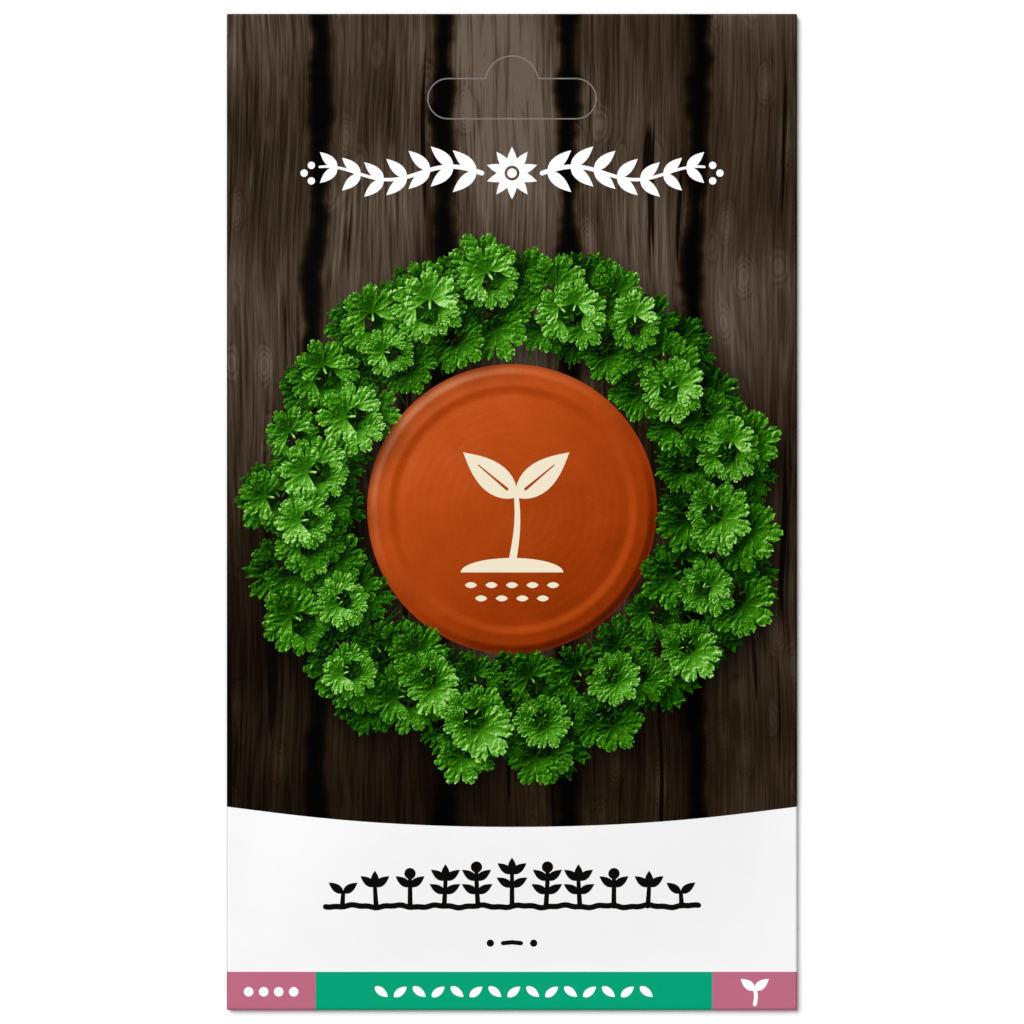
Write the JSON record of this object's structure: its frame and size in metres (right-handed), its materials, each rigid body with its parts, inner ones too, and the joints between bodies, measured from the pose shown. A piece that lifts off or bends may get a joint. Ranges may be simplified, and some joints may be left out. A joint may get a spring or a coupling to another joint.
{
  "type": "seed packet",
  "caption": "Flat folded paper seed packet with a die-cut hang hole in its header, a glued back seam, glued end flaps and a sachet of seeds inside.",
  "frame": {"origin": "the middle of the packet's outline, on the surface that its back lies on", "axes": "+X to the right as the front is read, +Y to the top edge with the hang hole, +Z out of the printed front"},
  "size_m": [0.095, 0.166, 0.0038],
  "materials": {
    "printed_paper": "satin",
    "glue": "satin",
    "sachet_film": "satin",
    "seed_coat": "matte"
  },
  "bodies": {
    "root": {"packet_sheet": "printed_paper", "seam_glue": "glue", "top_flap_glue": "glue", "bottom_flap_glue": "glue", "header_glue": "glue", "sachet_back": "sachet_film", "sachet_front": "sachet_film", "seeds": "seed_coat"}
  },
  "joints": []
}
